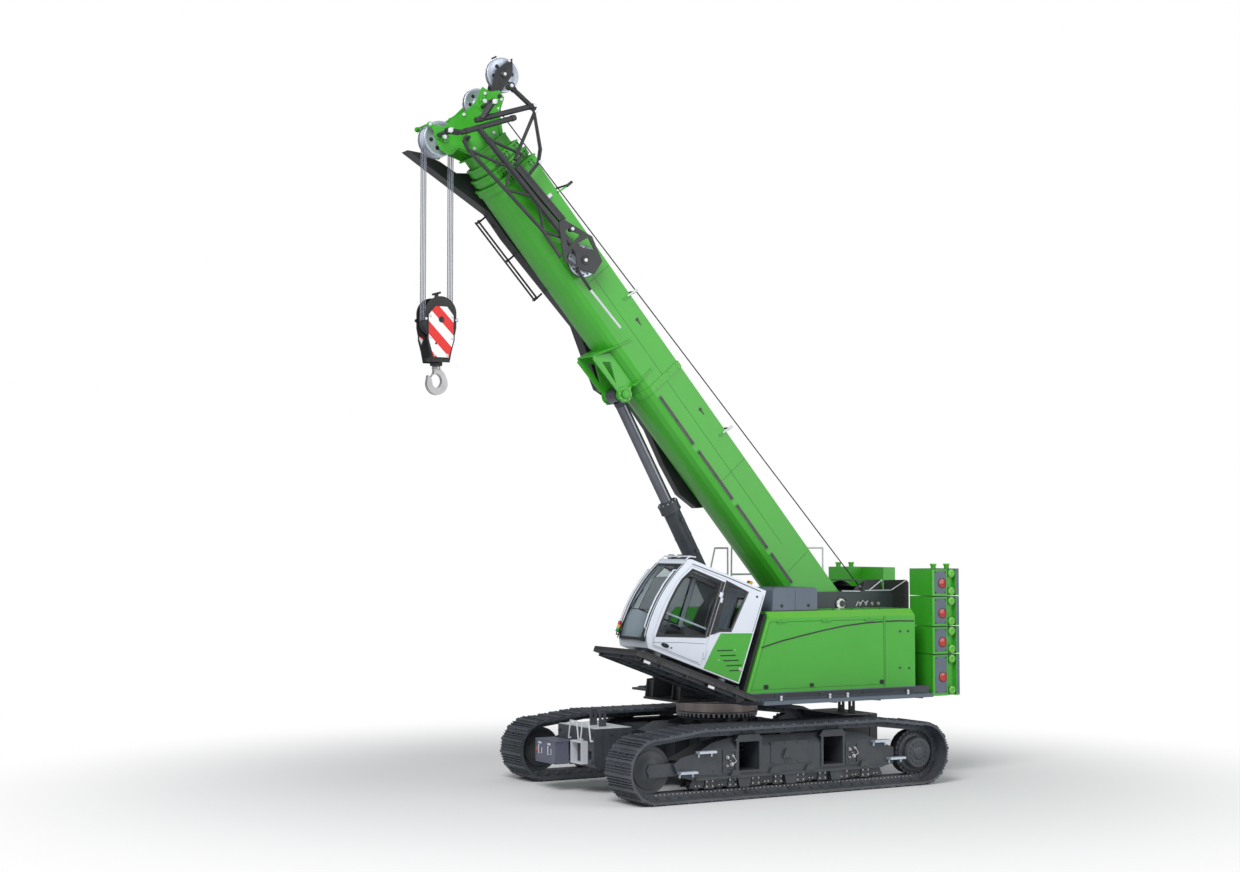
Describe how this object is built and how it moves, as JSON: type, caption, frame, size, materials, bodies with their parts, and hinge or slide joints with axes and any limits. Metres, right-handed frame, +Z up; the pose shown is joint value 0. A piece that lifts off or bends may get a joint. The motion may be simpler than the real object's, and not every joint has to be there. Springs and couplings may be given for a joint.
{
  "type": "telescopic boom crawler crane",
  "caption": "Crawler crane with a slewing superstructure, tilting cab, telescopic boom raised by a luffing cylinder, stowed jib pieces and a reeved hook block.",
  "frame": {"origin": "on the ground under the middle of the machine's bounding box, 0.8 m ahead of the slewing axis", "axes": "+X forward towards the boom tip, +Y to the machine's left, +Z up"},
  "size_m": [9.6256, 4.38, 11.8935],
  "materials": {
    "green": "gloss",
    "dark": "satin",
    "slate": "satin",
    "track": "worn",
    "steel": "bright",
    "aluminium": "brushed",
    "chrome": "polished",
    "white": "gloss",
    "black": "satin",
    "fabric": "woven",
    "cast": "painted",
    "glass": "clear",
    "amber": "clear"
  },
  "bodies": {
    "undercarriage": {"centre_frame": "dark", "gear_ring": "dark", "front_ballast": "dark", "rear_ballast": "dark", "storage_box": "dark", "front_step": "aluminium", "grab_loops": "aluminium"},
    "crawler_left": {"track_left": "track", "side_frame_left": "dark", "running_gear_left": "dark", "frame_steps_left": "aluminium"},
    "crawler_right": {"track_right": "track", "side_frame_right": "dark", "running_gear_right": "dark", "frame_steps_right": "aluminium"},
    "superstructure": {"slewing_ring": "steel", "upper_frame": "dark", "boom_foot_pin": "steel", "left_cover": "green", "right_cover": "green", "engine": "dark", "air_hood": "slate", "winch_frame": "dark", "left_walkway": "dark", "right_walkway": "dark", "hand_rails": "aluminium", "left_counterweight": "green", "right_counterweight": "green", "counterweight_carrier": "dark", "cab_mount": "dark"},
    "winch_drum": {"winch_drum": "steel"},
    "side_flap": {"side_flap": "green"},
    "boom_base": {"boom_base_section": "green", "far_jib": "dark"},
    "boom_1": {"boom_section_1": "green"},
    "boom_2": {"boom_section_2": "green"},
    "boom_3": {"boom_section_3": "green", "boom_head": "green", "top_sheave_arm": "dark", "near_jib": "dark"},
    "front_sheaves": {"front_head_sheaves": "steel"},
    "rear_sheave": {"rear_head_sheave": "steel"},
    "top_sheave": {"top_sheave": "steel"},
    "luff_rod": {"luff_cylinder_rod": "chrome"},
    "luff_barrel": {"luff_cylinder_barrel": "dark"},
    "rope_falls": {"rope_falls": "steel"},
    "hook_block": {"hook_block": "cast"},
    "block_sheaves": {"block_sheaves": "steel"},
    "hook": {"hook": "steel"},
    "cab": {"cab_frame": "white", "cab_glass": "glass", "cab_rear_panel": "green", "seat": "fabric", "cab_platform": "dark", "work_lamps": "black", "beacon": "amber"},
    "cab_door": {"cab_door": "white", "door_glass": "glass"}
  },
  "joints": [
    {"name": "slew", "type": "hinge", "parent": "undercarriage", "child": "superstructure", "pos_m": [-0.8, 0, 1.3], "axis": [0, 0, 1], "continuous": true},
    {"name": "crawler_left_slide", "type": "slide", "parent": "undercarriage", "child": "crawler_left", "axis": [0, 1, 0], "range_m": [-0.69, 0]},
    {"name": "crawler_right_slide", "type": "slide", "parent": "undercarriage", "child": "crawler_right", "axis": [0, -1, 0], "range_m": [-0.69, 0]},
    {"name": "boom_luff", "type": "hinge", "parent": "superstructure", "child": "boom_base", "pos_m": [-3.02041, 0, 2.97964], "axis": [0, -1, 0], "range_deg": [-49.5, 33]},
    {"name": "luff_rod_pivot", "type": "hinge", "parent": "boom_base", "child": "luff_rod", "pos_m": [1.17045, 0, 6.48994], "axis": [0, -1, 0], "range_deg": [-4.5, 3]},
    {"name": "luff_barrel_slide", "type": "slide", "parent": "luff_rod", "child": "luff_barrel", "axis": [-0.4853, 0, -0.8744], "range_m": [-1.56, 1.05]},
    {"name": "telescope_1", "type": "slide", "parent": "boom_base", "child": "boom_1", "axis": [0.6494, 0, 0.7604], "range_m": [0, 8.4]},
    {"name": "telescope_2", "type": "slide", "parent": "boom_1", "child": "boom_2", "axis": [0.6494, 0, 0.7604], "range_m": [0, 8.4]},
    {"name": "telescope_3", "type": "slide", "parent": "boom_2", "child": "boom_3", "axis": [0.6494, 0, 0.7604], "range_m": [0, 8.4]},
    {"name": "hook_plumb", "type": "hinge", "parent": "boom_3", "child": "rope_falls", "pos_m": [4.46756, 0, 10.4335], "axis": [0, -1, 0], "range_deg": [-35, 50]},
    {"name": "hook_hoist", "type": "slide", "parent": "rope_falls", "child": "hook_block", "axis": [0, 0, -1], "range_m": [-1.3, 6.2], "deforming": ["rope_falls"]},
    {"name": "block_sheaves_turn", "type": "hinge", "parent": "hook_block", "child": "block_sheaves", "pos_m": [4.46756, 0, 7.55], "axis": [0, 1, 0], "continuous": true},
    {"name": "hook_swivel", "type": "hinge", "parent": "hook_block", "child": "hook", "pos_m": [4.46756, 0, 6.85], "axis": [0, 0, 1], "continuous": true},
    {"name": "front_sheaves_turn", "type": "hinge", "parent": "boom_3", "child": "front_sheaves", "pos_m": [4.46756, 0, 10.4335], "axis": [0, 1, 0], "continuous": true},
    {"name": "rear_sheave_turn", "type": "hinge", "parent": "boom_3", "child": "rear_sheave", "pos_m": [3.76582, 0, 11.08543], "axis": [0, 1, 0], "continuous": true},
    {"name": "top_sheave_turn", "type": "hinge", "parent": "boom_3", "child": "top_sheave", "pos_m": [3.32399, 0, 11.60746], "axis": [0, 1, 0], "continuous": true},
    {"name": "winch_turn", "type": "hinge", "parent": "superstructure", "child": "winch_drum", "pos_m": [-3.705, 0, 3.01], "axis": [0, 1, 0], "continuous": true},
    {"name": "cab_tilt", "type": "hinge", "parent": "superstructure", "child": "cab", "pos_m": [-0.28073, 0, 1.669], "axis": [0, -1, 0], "range_deg": [-20, 0]},
    {"name": "cab_door_swing", "type": "hinge", "parent": "cab", "child": "cab_door", "pos_m": [0.22532, 1.512, 2.78434], "axis": [-0.342, 0, 0.9397], "range_deg": [0, 75]},
    {"name": "side_flap_lift", "type": "hinge", "parent": "superstructure", "child": "side_flap", "pos_m": [-2, 1.513, 2.743], "axis": [1, 0, 0], "range_deg": [0, 85]}
  ],
  "couplings": [
    {"joint": "luff_rod_pivot", "follows": "boom_luff", "ratio": 0.08},
    {"joint": "luff_barrel_slide", "follows": "boom_luff", "m_per_rad": 1.78},
    {"joint": "telescope_2", "follows": "telescope_1", "ratio": 1},
    {"joint": "telescope_3", "follows": "telescope_1", "ratio": 1},
    {"joint": "hook_plumb", "follows": "boom_luff", "ratio": -1}
  ]
}
